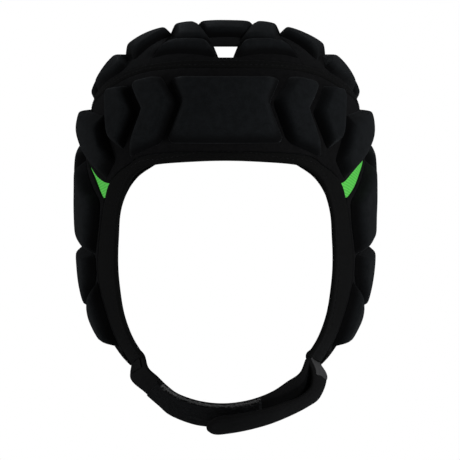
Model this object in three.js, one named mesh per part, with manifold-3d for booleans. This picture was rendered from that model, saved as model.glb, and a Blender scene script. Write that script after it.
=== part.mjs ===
// A soft rugby scrum cap: foam pads sewn on a cloth cap, with ear openings and a chin strap.
// Millimetres, +Z up. The face opening looks along -Y and the origin is the inside top of the crown.
import * as THREE from 'three';
import { mergeVertices } from 'three/addons/utils/BufferGeometryUtils.js';
import Module from 'manifold-3d';

const wasm = await Module();
wasm.setup();

// Head form: the outer face of the cloth
const headHalfWidth = 87;
const headFront = 97;
const headBack = 101;
const crownHeight = 89;
const jawDepth = 124;
const planRoundness = 2.15;
const crownRoundness = 2.6;
const jawNarrowing = 0.36;
const faceNarrowing = 0.05;
const napeNarrowing = 0.3;

// Cloth and foam
const clothThickness = 2.6;
const tapeRise = 0.9;
const meshThickness = 1.2;
const meshDepth = 1.2;
const seamGap = 0.6;
const padSeatGap = 0.95;
const padHeight = 8.4;
const crownPadHeight = 5.5;
const padShoulder = 1.3;
const padBevel = 3.6;
const padCornerRadius = 5;
const padFacet = 14;

// Openings
const earAzimuth = 100;
const earHeight = -0.36;
const earHalfLength = 21;
const earHalfHeight = 27;
const ventHalfWidthLow = 4.8;
const ventHalfWidthHigh = 7.6;
const ventLow = 0.795;
const ventHigh = 0.873;

// Chin strap
const strapThickness = 2;
const patchThickness = 0.9;
const patchGap = 0.4;
const strapSteps = 14;

const finishes = {
  cloth: { color: 0x141416, roughness: 0.85, metalness: 0 },
  foam: { color: 0x1a1b1e, roughness: 0.8, metalness: 0 },
  mesh: { color: 0x60d058, roughness: 0.7, metalness: 0 },
  webbing: { color: 0x101012, roughness: 0.75, metalness: 0 },
  loop: { color: 0x232326, roughness: 1, metalness: 0 },
  satin: { color: 0x38383a, roughness: 0.45, metalness: 0 },
};

// Each row of a table becomes an object with the columns' names.
function table(columns, rows) {
  return rows.map((row) => Object.fromEntries(columns.map((name, i) => [name, row[i]])));
}

// The form's half width and its reach to front or back at a level below or above its widest.
function spans(point) {
  const share = Math.max(0, -point.z) / jawDepth;
  const side = headHalfWidth * (1 - jawNarrowing * share ** 4);
  const front = headFront * (1 - faceNarrowing * share ** 2);
  const back = headBack * (1 - napeNarrowing * share ** 2);
  return { side, depth: point.y < 0 ? front : back };
}

// One on the form, less inside it and more outside it.
function formValue(point) {
  const { side, depth } = spans(point);
  const plan = (Math.abs(point.x) / side) ** planRoundness + (Math.abs(point.y) / depth) ** planRoundness;
  const rise = (Math.max(0, point.z) / crownHeight) ** crownRoundness;
  return plan ** (crownRoundness / planRoundness) + rise;
}

function formNormal(point) {
  const step = 0.4;
  const slope = ['x', 'y', 'z'].map((axis) => {
    const ahead = point.clone();
    const behind = point.clone();
    ahead[axis] += step;
    behind[axis] -= step;
    return formValue(ahead) - formValue(behind);
  });
  return new THREE.Vector3(...slope).normalize();
}

// Moves a point onto the form, away from its centre or, below the widest level, from its axis.
function seat(point, lift = 0) {
  const scale = formValue(point) ** (-1 / crownRoundness);
  const rise = point.z > 0 ? point.z * scale : point.z;
  const seated = new THREE.Vector3(point.x * scale, point.y * scale, rise);
  return seated.addScaledVector(formNormal(seated), lift);
}

// A place by its azimuth in degrees from the front, and its height as a share of the crown or the jaw.
function side(azimuth, height) {
  const angle = THREE.MathUtils.degToRad(azimuth);
  const z = height > 0 ? height * crownHeight : height * jawDepth;
  const ring = height > 0 ? (1 - height ** crownRoundness) ** (1 / crownRoundness) : 1;
  const flat = new THREE.Vector3(Math.sin(angle), -Math.cos(angle), Math.min(0, z));
  const { side: half, depth } = spans(flat);
  const plan = (Math.abs(flat.x) / half) ** planRoundness + (Math.abs(flat.y) / depth) ** planRoundness;
  const reach = ring * plan ** (-1 / planRoundness);
  return new THREE.Vector3(flat.x * reach, flat.y * reach, z);
}

// A place on the crown seen from above, by its shares of the half width and of the front or back.
function top(across, along) {
  const depth = along < 0 ? headFront : headBack;
  const plan = Math.abs(across) ** planRoundness + Math.abs(along) ** planRoundness;
  const rise = (1 - plan ** (crownRoundness / planRoundness)) ** (1 / crownRoundness);
  return new THREE.Vector3(across * headHalfWidth, along * depth, rise * crownHeight);
}

function between(from, to, share) {
  return from.clone().lerp(to, share);
}

// The point at a share of the way along a broken line, the same share for each of its stretches.
function along(line, share) {
  const place = Math.min(share, 1) * (line.length - 1);
  const index = Math.min(Math.floor(place), line.length - 2);
  return between(line[index], line[index + 1], place - index);
}

// A row across a strip: straight between two points, or a smooth bow through three.
function across(row, share) {
  if (row.length === 2) {
    return between(row[0], row[1], share);
  }
  const first = (1 - share) * (1 - 2 * share);
  const middle = 4 * share * (1 - share);
  const last = share * (2 * share - 1);
  return new THREE.Vector3()
    .addScaledVector(row[0], first)
    .addScaledVector(row[1], middle)
    .addScaledVector(row[2], last);
}

function geometryOf(points, triangles) {
  const geometry = new THREE.BufferGeometry();
  const positions = points.flatMap((point) => [point.x, point.y, point.z]);
  geometry.setAttribute('position', new THREE.Float32BufferAttribute(positions, 3));
  geometry.setIndex(triangles);
  return geometry;
}

// A closed wall between two grids of points; with closed set, the last row joins the first.
function wall(outer, inner, closed = false) {
  const rows = outer.length;
  const columns = outer[0].length;
  const points = [...outer.flat(), ...inner.flat()];
  const triangles = [];
  const quad = (a, b, c, d) => triangles.push(a, b, c, a, c, d);
  const out = (i, j) => (i % rows) * columns + j;
  const back = (i, j) => rows * columns + out(i, j);
  const last = closed ? rows : rows - 1;
  for (let i = 0; i < last; i += 1) {
    for (let j = 0; j < columns - 1; j += 1) {
      quad(out(i, j), out(i + 1, j), out(i + 1, j + 1), out(i, j + 1));
      quad(back(i, j), back(i, j + 1), back(i + 1, j + 1), back(i + 1, j));
    }
    quad(out(i, 0), back(i, 0), back(i + 1, 0), out(i + 1, 0));
    quad(out(i, columns - 1), out(i + 1, columns - 1), back(i + 1, columns - 1), back(i, columns - 1));
  }
  if (!closed) {
    for (let j = 0; j < columns - 1; j += 1) {
      quad(out(0, j), out(0, j + 1), back(0, j + 1), back(0, j));
      quad(out(rows - 1, j), back(rows - 1, j), back(rows - 1, j + 1), out(rows - 1, j + 1));
    }
  }
  return geometryOf(points, triangles);
}

function volumeOf(geometry) {
  const position = geometry.getAttribute('position');
  const corner = [0, 1, 2].map(() => new THREE.Vector3());
  let sum = 0;
  for (let i = 0; i < geometry.index.count; i += 3) {
    corner.forEach((vector, k) => vector.fromBufferAttribute(position, geometry.index.getX(i + k)));
    sum += corner[0].dot(corner[1].clone().cross(corner[2]));
  }
  return sum / 6;
}

// Turns a closed geometry's faces outwards where its rows ran the other way round.
function facingOut(geometry) {
  if (volumeOf(geometry) < 0) {
    geometry.setIndex(Array.from(geometry.index.array).reverse());
  }
  return geometry;
}

function mirrored(geometry) {
  const copy = geometry.clone().scale(-1, 1, 1);
  copy.setIndex(Array.from(copy.index.array).reverse());
  return copy;
}

// Pulls the two ends of a run of rows in by half a seam.
function trimmedEnds(rows) {
  const trim = (row, next) => row.map((point, i) => {
    const length = point.distanceTo(next[i]);
    return between(point, next[i], Math.min(0.5, seamGap / 2 / length));
  });
  const count = rows.length;
  return [trim(rows[0], rows[1]), ...rows.slice(1, -1), trim(rows[count - 1], rows[count - 2])];
}

// A cloth piece on the form, through rows of points, with half a seam left free all round.
function clothStrip(rows, { steps = 1, lift = 0, thickness = clothThickness, closed = false } = {}) {
  const trimmed = closed ? rows : trimmedEnds(rows);
  const grid = (level) => trimmed.map((row) => {
    const inset = Math.min(0.3, seamGap / 2 / row[0].distanceTo(row[row.length - 1]));
    return Array.from({ length: steps + 1 }, (_, i) => {
      const share = inset + (1 - 2 * inset) * (i / steps);
      return seat(across(row, share), level);
    });
  });
  return facingOut(wall(grid(lift), grid(lift - thickness), closed));
}

// The share of a pad's half size that a real length takes.
function halfShare(length, size, limit) {
  return Math.min(limit, (2 * length) / size);
}

// The outline of a pad in its own square from -1 to 1, with cut corners and a stop at each bend.
function padOutline(cornerU, cornerV, countU, countV) {
  const quarter = 0.29;
  const outline = [];
  const edge = (count, point) => {
    for (let i = 0; i <= count; i += 1) {
      outline.push(point(-1 + (2 * i) / count));
    }
  };
  const endU = 1 - cornerU;
  const endV = 1 - cornerV;
  const softU = 1 - quarter * cornerU;
  const softV = 1 - quarter * cornerV;
  edge(countU, (t) => [t * endU, -1]);
  outline.push([softU, -softV]);
  edge(countV, (t) => [1, t * endV]);
  outline.push([softU, softV]);
  edge(countU, (t) => [-t * endU, 1]);
  outline.push([-softU, softV]);
  edge(countV, (t) => [-1, -t * endV]);
  outline.push([-softU, -softV]);
  return outline;
}

// A foam pad between a left and a right edge line of a chart: a foot on the cloth, a bevelled wall,
// a soft shoulder and a full face.
function foamPad(chart, left, right, height = padHeight) {
  const [leftLine, rightLine] = [left, right].map((line) => line.map((pair) => new THREE.Vector2(...pair)));
  const point = (u, v, lift) => {
    const share = (v + 1) / 2;
    const place = between(along(leftLine, share), along(rightLine, share), (u + 1) / 2);
    const seated = chart(place.x, place.y);
    return seated.addScaledVector(formNormal(seated), lift);
  };
  const width = point(-1, 0, 0).distanceTo(point(1, 0, 0));
  const length = point(0, -1, 0).distanceTo(point(0, 1, 0));
  const countV = 2 * Math.max(1, Math.round(length / padFacet / 2));
  const countU = Math.max(1, Math.round(width / padFacet));
  const cornerU = halfShare(padCornerRadius, width, 0.5);
  const cornerV = halfShare(padCornerRadius, length, 0.5);
  const outline = padOutline(cornerU, cornerV, countU, countV);
  const bevelU = halfShare(padBevel, width, 0.4);
  const bevelV = halfShare(padBevel, length, 0.4);
  const ring = (pull, lift) => outline.map(([u, v]) => (
    point(u * (1 - pull * bevelU), v * (1 - pull * bevelV), lift)
  ));
  const middle = (lift) => outline.map(([u, v]) => point(u / 2, v / 2, lift));
  const shoulder = height - padShoulder;
  const rings = [middle(padSeatGap), ring(0, padSeatGap), ring(1, shoulder), ring(2, height)];
  const count = outline.length;
  const points = [...rings.flat(), point(0, 0, padSeatGap), point(0, 0, height)];
  const triangles = [];
  for (let level = 0; level < rings.length - 1; level += 1) {
    for (let i = 0; i < count; i += 1) {
      const a = level * count + i;
      const b = level * count + ((i + 1) % count);
      triangles.push(a, b, b + count, a, b + count, a + count);
    }
  }
  const bottom = rings.length * count;
  const face = (rings.length - 1) * count;
  for (let i = 0; i < count; i += 1) {
    const next = (i + 1) % count;
    triangles.push(bottom, next, i);
    triangles.push(bottom + 1, face + i, face + next);
  }
  return facingOut(geometryOf(points, triangles));
}

const cap = new THREE.Group();
cap.position.z = clothThickness - crownHeight;

function add(name, geometry, finish) {
  const mesh = new THREE.Mesh(geometry, new THREE.MeshStandardMaterial(finishes[finish]));
  mesh.name = name;
  cap.add(mesh);
}

function addPair(name, geometry, finish) {
  add(`${name}_right`, geometry, finish);
  add(`${name}_left`, mirrored(geometry), finish);
}

// Rows on the right side, and the same rows mirrored to the left, from the left end to the right.
function bothSides(rows, centred) {
  const flip = (point) => new THREE.Vector3(-point.x, point.y, point.z);
  const left = rows.slice(centred ? 1 : 0).reverse().map((row) => row.map(flip));
  return [...left, ...rows];
}

// Seam tape over the brow seam: its lower and upper edge, from the front centre round to the back
const tapeRows = table(['azimuth', 'low', 'high'], [
  [0, 0.73, 0.78],
  [9, 0.73, 0.78],
  [18, 0.73, 0.778],
  [28.5, 0.72, 0.767],
  [39, 0.698, 0.747],
  [49, 0.656, 0.712],
  [57.5, 0.605, 0.667],
  [68.5, 0.543, 0.61],
  [83, 0.468, 0.545],
  [97, 0.392, 0.47],
  [108, 0.345, 0.422],
  [120, 0.312, 0.388],
  [132, 0.288, 0.364],
  [144, 0.274, 0.35],
  [154, 0.265, 0.34],
]);

function seamTape() {
  const rows = tapeRows.map((row) => [side(row.azimuth, row.low), side(row.azimuth, row.high)]);
  return clothStrip(bothSides(rows, true), { lift: tapeRise, thickness: clothThickness + tapeRise });
}

// Brow panel between the face band and the seam tape
const browRows = table(['lowAzimuth', 'low', 'highAzimuth', 'high'], [
  [0, 0.18, 0, 0.73],
  [11, 0.178, 9, 0.73],
  [21, 0.171, 18, 0.73],
  [32, 0.141, 28.5, 0.72],
  [38, 0.08, 39, 0.698],
  [44, 0.022, 49, 0.656],
  [49.5, -0.035, 57.5, 0.605],
  [58, 0.019, 68.5, 0.543],
  [67, 0.076, 79, 0.488],
  [77.5, 0.142, 90, 0.43],
  [88.7, 0.217, 97, 0.392],
  [97, 0.293, 102, 0.37],
]);

function rowPoints(row) {
  return [side(row.lowAzimuth, row.low), side(row.highAzimuth, row.high)];
}

function frontPanel() {
  return clothStrip(bothSides(browRows.map(rowPoints), true), { steps: 4 });
}

// Face band: the edge of the face opening and the band's outer edge, from the brow to the jaw tip
const bandRows = table(['lowAzimuth', 'low', 'highAzimuth', 'high'], [
  [0, 0.12, 0, 0.175],
  [12, 0.112, 11, 0.173],
  [26, 0.087, 21, 0.166],
  [32, 0.049, 32, 0.136],
  [36, -0.014, 38, 0.075],
  [39.2, -0.099, 44, 0.017],
  [41.8, -0.195, 49.5, -0.042],
  [42.8, -0.299, 52.5, -0.12],
  [43.5, -0.37, 56, -0.25],
  [44, -0.46, 60.5, -0.43],
  [44, -0.556, 61, -0.54],
  [44, -0.68, 58.5, -0.66],
  [42.5, -0.787, 57.5, -0.78],
  [39.5, -0.85, 56.5, -0.87],
  [37, -0.88, 57.5, -0.945],
]);

function faceBand() {
  return clothStrip(bothSides(bandRows.map(rowPoints), true), { steps: 2 });
}

// Green mesh lining that shows in the slit between the brow pads and the side pads
const gussetRows = table(['lowAzimuth', 'low', 'highAzimuth', 'high'], [
  [54.5, -0.1, 50.2, -0.048],
  [61.5, -0.062, 58, 0.009],
  [69.8, 0.002, 67, 0.066],
  [79.8, 0.077, 77.5, 0.132],
  [90.8, 0.168, 88.7, 0.208],
  [99, 0.26, 97.3, 0.283],
]);

function gusset() {
  return clothStrip(gussetRows.map(rowPoints), { lift: -meshDepth, thickness: meshThickness });
}

// Rear hem: the bound lower edge from the centre of the nape round to the jaw tip
const hemRows = table(['azimuth', 'low', 'high'], [
  [180, 0.042, 0.132],
  [168, 0.042, 0.132],
  [157, 0.033, 0.123],
  [150, -0.05, 0.042],
  [142, -0.11, -0.045],
  [135, -0.195, -0.13],
  [129, -0.32, -0.255],
  [121, -0.46, -0.395],
  [110, -0.61, -0.545],
  [97, -0.745, -0.68],
  [84, -0.85, -0.785],
  [72, -0.915, -0.85],
  [61, -0.95, -0.885],
]);

function rearHem() {
  const rows = hemRows.map((row) => [side(row.azimuth, row.low), side(row.azimuth, row.high)]);
  return clothStrip(bothSides(rows, true), { lift: tapeRise, thickness: clothThickness + tapeRise });
}

// Crown centre panel: its right edge and its middle, from the brow seam over the top to the nape
function crownCentrePanel() {
  const edges = [
    [side(39.5, 0.751), side(0, 0.785)],
    [top(0.465, -0.475), top(0, -0.66)],
    [top(0.4, -0.345), top(0, -0.52)],
    [top(0.385, -0.22), top(0, -0.36)],
    [top(0.375, -0.08), top(0, -0.17)],
    [top(0.38, 0.05), top(0, 0.02)],
    [top(0.39, 0.2), top(0, 0.2)],
    [top(0.41, 0.36), top(0, 0.38)],
    [top(0.44, 0.5), top(0, 0.54)],
    [side(147.5, 0.665), side(180, 0.72)],
    [side(151, 0.54), side(180, 0.585)],
    [side(153.5, 0.405), side(180, 0.445)],
    [side(155.5, 0.265), side(180, 0.285)],
    [side(157, 0.132), side(180, 0.142)],
  ];
  const rows = edges.map(([edge, middle]) => {
    const flipped = new THREE.Vector3(-edge.x, edge.y, edge.z);
    return [flipped, middle, edge];
  });
  return throughVents(clothStrip(rows, { steps: 6 }));
}

// A trapezoid vent hole at the front and the same one at the back, cut through along Y
function ventCutter() {
  const low = ventLow * crownHeight;
  const high = ventHigh * crownHeight;
  const outline = new THREE.Shape();
  outline.moveTo(-ventHalfWidthLow, low);
  outline.lineTo(ventHalfWidthLow, low);
  outline.lineTo(ventHalfWidthHigh, high);
  outline.lineTo(-ventHalfWidthHigh, high);
  outline.closePath();
  const depth = headFront + headBack;
  const cutter = new THREE.ExtrudeGeometry(outline, { depth, bevelEnabled: false });
  return cutter.rotateX(Math.PI / 2).translate(0, headBack, 0);
}

function solidOf(geometry) {
  const bare = geometry.clone();
  bare.deleteAttribute('normal');
  bare.deleteAttribute('uv');
  const merged = mergeVertices(bare);
  const vertProperties = Float32Array.from(merged.getAttribute('position').array);
  const triVerts = Uint32Array.from(merged.index.array);
  return new wasm.Manifold(new wasm.Mesh({ numProp: 3, vertProperties, triVerts }));
}

function geometryFrom(solid) {
  const mesh = solid.getMesh();
  const geometry = new THREE.BufferGeometry();
  geometry.setAttribute('position', new THREE.BufferAttribute(mesh.vertProperties, 3));
  geometry.setIndex(Array.from(mesh.triVerts));
  return geometry;
}

function throughVents(geometry) {
  return geometryFrom(solidOf(geometry).subtract(solidOf(ventCutter())));
}

// Crown side panel: from the tape's upper edge to the edge of the crown centre panel
function crownSidePanel() {
  const rows = [
    [side(40.3, 0.746), side(39.7, 0.767)],
    [side(44.6, 0.731), top(0.465, -0.475)],
    [side(49, 0.712), top(0.4, -0.345)],
    [side(57.5, 0.667), top(0.385, -0.22)],
    [side(68.5, 0.61), top(0.379, -0.14)],
    [side(83, 0.545), top(0.375, -0.05)],
    [side(97, 0.47), top(0.38, 0.05)],
    [side(108, 0.422), top(0.39, 0.2)],
    [side(120, 0.388), top(0.41, 0.36)],
    [side(132, 0.364), top(0.44, 0.5)],
    [side(144, 0.35), side(147.5, 0.665)],
    [side(151.5, 0.342), side(151.5, 0.52)],
    [side(153.6, 0.341), side(154, 0.38)],
  ];
  return clothStrip(rows, { steps: 4 });
}

// Side panel outline round the ear, from the gap below the brow pads down the band and round the back
const sideOutline = table(['azimuth', 'height'], [
  [55, -0.107],
  [52.7, -0.12],
  [56, -0.25],
  [60.5, -0.43],
  [61, -0.54],
  [58.5, -0.66],
  [57.5, -0.78],
  [57, -0.86],
  [61, -0.885],
  [72, -0.85],
  [84, -0.785],
  [97, -0.68],
  [110, -0.545],
  [121, -0.395],
  [129, -0.255],
  [135, -0.13],
  [142, -0.045],
  [150, 0.042],
  [156.4, 0.127],
  [154.5, 0.26],
  [144, 0.274],
  [132, 0.288],
  [120, 0.312],
  [108, 0.345],
  [103, 0.342],
  [99, 0.255],
  [91, 0.165],
  [80, 0.076],
  [70, 0],
  [62, -0.065],
]);

// The ear opening's edge point in the direction of a place on the side panel's outline
function earEdge(place) {
  const level = (height) => (height > 0 ? height * crownHeight : height * jawDepth);
  const degree = THREE.MathUtils.degToRad(headHalfWidth);
  const lengthwise = (place.azimuth - earAzimuth) * degree;
  const upwards = level(place.height) - level(earHeight);
  const angle = Math.atan2(upwards / earHalfHeight, lengthwise / earHalfLength);
  const azimuth = earAzimuth + (earHalfLength * Math.cos(angle)) / degree;
  const z = level(earHeight) + earHalfHeight * Math.sin(angle);
  return side(azimuth, z / (z > 0 ? crownHeight : jawDepth));
}

function sidePanel() {
  const rows = sideOutline.map((place) => [earEdge(place), side(place.azimuth, place.height)]);
  return clothStrip(rows, { steps: 4, closed: true });
}

// Pads by their inner and outer edge, each from its top to its bottom, by azimuth and height
const browPads = table(['name', 'inner', 'outer'], [
  ['brow_pad_1', [[32.5, 0.67], [19.5, 0.492], [26, 0.236]], [[44, 0.61], [35, 0.442], [38.5, 0.156]]],
  ['brow_pad_2', [[46, 0.605], [36.3, 0.438], [41, 0.184]], [[62.5, 0.557], [60.5, 0.434], [46.5, 0.222]]],
  ['temple_pad', [[62.5, 0.41], [47.5, 0.094], [50.5, -0.018]], [[86.5, 0.405], [90, 0.32], [86.5, 0.236]]],
]);

const sidePads = table(['name', 'inner', 'outer'], [
  ['cheek_pad_upper', [[57, -0.13], [58.5, -0.25], [62.5, -0.385]], [[84, 0.066], [85, -0.15], [81, -0.385]]],
  ['cheek_pad_middle', [[63.5, -0.41], [64.5, -0.5], [77, -0.665]], [[82, -0.41], [86, -0.53], [85, -0.675]]],
  ['cheek_pad_lower', [[63, -0.545], [60.5, -0.69], [59.5, -0.84]], [[75, -0.69], [80, -0.735], [71.5, -0.825]]],
  ['ear_pad_upper', [[92, 0.123], [87.5, -0.1]], [[117, 0.264], [115, -0.11]]],
  ['ear_pad_rear', [[119.5, 0.264], [118, -0.13]], [[150.5, 0.236], [142.5, -0.03]]],
  ['ear_pad_lower', [[117.5, -0.19], [114, -0.475]], [[133.5, -0.125], [121, -0.36]]],
]);

const crownSidePads = table(['name', 'inner', 'outer'], [
  ['crown_side_pad_3', [[56.5, 0.735], [66, 0.79], [89, 0.8]], [[59, 0.69], [75, 0.625], [89, 0.572]]],
  ['crown_side_pad_4', [[92.5, 0.8], [124, 0.765]], [[92, 0.53], [123, 0.42]]],
  ['crown_side_pad_5', [[127.5, 0.765], [147, 0.65]], [[126, 0.415], [149, 0.39]]],
  ['nape_pad', [[177, 0.745], [177, 0.18]], [[150.5, 0.645], [158.5, 0.175]]],
]);

// Crown pads by two facing edges, most of them running from front to back, as shares seen from above
const crownPads = table(['name', 'inner', 'outer'], [
  ['crown_pad_1', [[0.066, -0.72], [0.098, -0.6]], [[0.505, -0.55], [0.345, -0.52]]],
  ['crown_pad_2', [[0.118, -0.575], [0.205, -0.125]], [[0.335, -0.49], [0.36, -0.115]]],
  ['crown_pad_3', [[0.205, -0.095], [0.19, 0.19]], [[0.37, -0.085], [0.37, 0.19]]],
  ['crown_pad_4', [[0.19, 0.22], [0.16, 0.46]], [[0.375, 0.22], [0.4, 0.43]]],
  ['crown_pad_5', [[0.15, 0.49], [0.06, 0.745]], [[0.405, 0.46], [0.475, 0.68]]],
  ['crown_side_pad_1', [[0.395, -0.25], [0.415, 0.095]], [[0.625, -0.41], [0.7, 0]]],
  ['crown_side_pad_2', [[0.415, 0.13], [0.435, 0.36]], [[0.69, 0.045], [0.6, 0.42]]],
]);

// Pads on the middle line by their half width and place from front to back
const centrePads = table(['name', 'front', 'frontHalf', 'rear', 'rearHalf'], [
  ['crown_bar_front', -0.46, 0.13, -0.12, 0.19],
  ['crown_bar_rear', -0.09, 0.19, 0.46, 0.14],
]);

const centreBrowEdge = table(['azimuth', 'height'], [
  [23.5, 0.665],
  [17.4, 0.5],
  [21.5, 0.236],
]);

function addPads() {
  const centreEdge = (sign) => centreBrowEdge.map((row) => [sign * row.azimuth, row.height]);
  add('brow_pad_centre', foamPad(side, centreEdge(-1), centreEdge(1)), 'foam');
  for (const pad of [...browPads, ...sidePads]) {
    addPair(pad.name, foamPad(side, pad.inner, pad.outer), 'foam');
  }
  for (const pad of crownSidePads) {
    addPair(pad.name, foamPad(side, pad.inner, pad.outer, crownPadHeight), 'foam');
  }
  for (const pad of crownPads) {
    addPair(pad.name, foamPad(top, pad.inner, pad.outer, crownPadHeight), 'foam');
  }
  for (const pad of centrePads) {
    const edge = (sign) => [[sign * pad.frontHalf, pad.front], [sign * pad.rearHalf, pad.rear]];
    add(pad.name, foamPad(top, edge(-1), edge(1), crownPadHeight), 'foam');
  }
}

// Chin strap edges as shares of the half width, the front and the jaw depth. The under strap runs from below
// the left jaw tip to its free end on the right, and the over strap from below the right jaw tip to the chin.
const strapColumns = ['frontX', 'frontY', 'frontZ', 'rearX', 'rearY', 'rearZ'];
const strapUnder = table(strapColumns, [
  [-0.535, -0.735, -0.93, -0.66, -0.45, -1.01],
  [-0.47, -0.784, -0.968, -0.56, -0.54, -1.065],
  [-0.4, -0.83, -1.01, -0.455, -0.61, -1.12],
  [-0.32, -0.866, -1.045, -0.365, -0.665, -1.165],
  [-0.17, -0.912, -1.075, -0.19, -0.7, -1.205],
  [0, -0.92, -1.085, 0, -0.705, -1.21],
  [0.17, -0.9, -1.07, 0.18, -0.695, -1.18],
  [0.32, -0.855, -1.035, 0.345, -0.655, -1.13],
  [0.43, -0.8, -0.99, 0.47, -0.58, -1.07],
]);

const strapOver = table(strapColumns, [
  [0.6, -0.7, -0.95, 0.705, -0.43, -1.01],
  [0.592, -0.74, -1.02, 0.655, -0.535, -1.092],
  [0.505, -0.825, -1.065, 0.575, -0.62, -1.125],
  [0.38, -0.895, -1.09, 0.425, -0.695, -1.17],
  [0.264, -0.94, -1.11, 0.276, -0.74, -1.205],
  [0.103, -0.965, -1.13, 0.103, -0.77, -1.232],
  [-0.057, -0.965, -1.145, -0.07, -0.78, -1.247],
  [-0.125, -0.945, -1.165, -0.135, -0.815, -1.235],
]);

// The two ends of the seam where a strap is sewn to the face band, at the middle of the band's cloth
function jawSeam(sign) {
  return rowPoints(bandRows[bandRows.length - 1]).map((point) => {
    const middle = seat(point, -clothThickness / 2);
    return new THREE.Vector3(sign * middle.x, middle.y, middle.z);
  });
}

function strapCurves(sign, rows) {
  const scaled = (x, y, z) => new THREE.Vector3(x * headHalfWidth, y * headFront, z * jawDepth);
  const [seamFront, seamRear] = jawSeam(sign);
  const front = rows.map((row) => scaled(row.frontX, row.frontY, row.frontZ));
  const rear = rows.map((row) => scaled(row.rearX, row.rearY, row.rearZ));
  return [new THREE.CatmullRomCurve3([seamFront, ...front]), new THREE.CatmullRomCurve3([seamRear, ...rear])];
}

// A length of strap between two edge curves, from one share of them to another and one lift to another
function strapSlab([front, rear], { from = 0, to = 1, low, high, inset = 0, steps = strapSteps }) {
  const point = (share, cross) => between(front.getPoint(share), rear.getPoint(share), cross);
  const normal = (share, cross) => {
    const step = 0.01;
    const lengthwise = point(Math.min(1, share + step), cross).sub(point(Math.max(0, share - step), cross));
    const crosswise = point(share, 1).sub(point(share, 0));
    return lengthwise.cross(crosswise).normalize();
  };
  const crossings = [inset, 0.5, 1 - inset];
  const shares = Array.from({ length: steps + 1 }, (_, i) => from + ((to - from) * i) / steps);
  const facing = normal(0.5, 0.5).z > 0 ? -1 : 1;
  const grid = (lift) => shares.map((share) => crossings.map((cross) => (
    point(share, cross).addScaledVector(normal(share, cross), facing * lift)
  )));
  return facingOut(wall(grid(high), grid(low)));
}

function addStraps() {
  const under = strapCurves(-1, strapUnder);
  const over = strapCurves(1, strapOver);
  const half = strapThickness / 2;
  const face = half + patchGap;
  const patch = { low: face, high: face + patchThickness, inset: 0.06 };
  const whole = { from: (2.5 * seamGap) / over[0].getLength(), low: -half, high: half };
  add('strap_left', strapSlab(under, whole), 'webbing');
  add('strap_right', strapSlab(over, whole), 'webbing');
  add('loop_patch', strapSlab(under, { ...patch, from: 0.25, to: 0.63, steps: 6 }), 'loop');
  add('keeper_patch', strapSlab(over, { ...patch, from: 0.03, to: 0.16, inset: 0.12, steps: 2 }), 'satin');
  add('strap_tab', strapSlab(under, { ...patch, from: 0.03, to: 0.09, inset: 0.15, steps: 1 }), 'webbing');
}

add('front_panel', frontPanel(), 'cloth');
add('face_band', faceBand(), 'cloth');
add('crown_seam_tape', seamTape(), 'cloth');
add('crown_centre_panel', crownCentrePanel(), 'cloth');
addPair('crown_side_panel', crownSidePanel(), 'cloth');
addPair('side_panel', sidePanel(), 'cloth');
add('rear_hem', rearHem(), 'cloth');
addPair('gusset', gusset(), 'mesh');
addPads();
addStraps();

export default cap;
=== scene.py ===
"""A soft rugby scrum cap: foam pads sewn on a stretch-knit cap, with ear openings and a chin strap.

Shapes are worked out in millimetres on the head form, whose widest level is z = 0 and whose face looks
along -Y, and are moved into the frame, in metres, when they become meshes.
"""

import math

import bmesh
import bpy
import numpy as np
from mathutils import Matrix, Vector


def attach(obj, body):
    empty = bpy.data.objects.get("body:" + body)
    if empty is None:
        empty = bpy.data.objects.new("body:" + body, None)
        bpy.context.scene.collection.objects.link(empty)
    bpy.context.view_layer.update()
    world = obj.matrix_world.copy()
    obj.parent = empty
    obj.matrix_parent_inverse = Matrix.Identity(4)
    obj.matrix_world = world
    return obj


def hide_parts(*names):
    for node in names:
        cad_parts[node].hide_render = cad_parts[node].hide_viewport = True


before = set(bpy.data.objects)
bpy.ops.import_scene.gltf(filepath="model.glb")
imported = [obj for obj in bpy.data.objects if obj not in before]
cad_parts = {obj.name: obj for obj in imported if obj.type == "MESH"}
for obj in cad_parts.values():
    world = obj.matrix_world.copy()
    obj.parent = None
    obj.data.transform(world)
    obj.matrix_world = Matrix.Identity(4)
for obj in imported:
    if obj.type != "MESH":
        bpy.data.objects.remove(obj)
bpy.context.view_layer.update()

# Camera: level with the crown's vents and looking slightly down at the middle of the cap
CAMERA_AIM = Vector((0.0028, 0.0, -0.1234))
CAMERA_DISTANCE = 1.6
CAMERA_ELEVATION = math.radians(4)
VIEW_WIDTH = 0.2884
SENSOR = 36.0

# Head form
HEAD_HALF_WIDTH = 87.0
HEAD_FRONT = 97.0
HEAD_BACK = 101.0
CROWN_HEIGHT = 89.0
JAW_DEPTH = 124.0
PLAN_ROUNDNESS = 2.15
CROWN_ROUNDNESS = 2.6
JAW_NARROWING = 0.36
FACE_NARROWING = 0.05
NAPE_NARROWING = 0.3

# Cloth and foam
CLOTH_THICKNESS = 2.6
CLOTH_SLACK = 0.12
CLOTH_RIPPLE = 26.0
SLACK_FADE = 4.0
TAPE_RISE = 0.9
HEM_BEAD = 0.5
BEAD_PLACE = 2.0
BEAD_SPREAD = 1.7
MESH_DEPTH = 1.2
MESH_THICKNESS = 1.2
PAD_HEIGHT = 8.7
CROWN_PAD_HEIGHT = 5.9
PAD_SLOPE = 4.7
CROWN_PAD_SLOPE = 3.8
PAD_CREASE = 0.24
PAD_SINK = 0.25
PAD_UNDERSIDE = 0.2
PAD_CROWNING = 0.5
PAD_UNEVENNESS = 0.22
PAD_RIPPLE = 24.0
BROW_SPREAD = 0.4
SIDE_SPREAD = 2.0
PAD_CORNER = 4.0
PAD_RINGS = [0, 0.5, 1.05, 1.65, 2.3, 3.0, 3.8, 4.7, 5.6, 6.8, 8.4]

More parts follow.
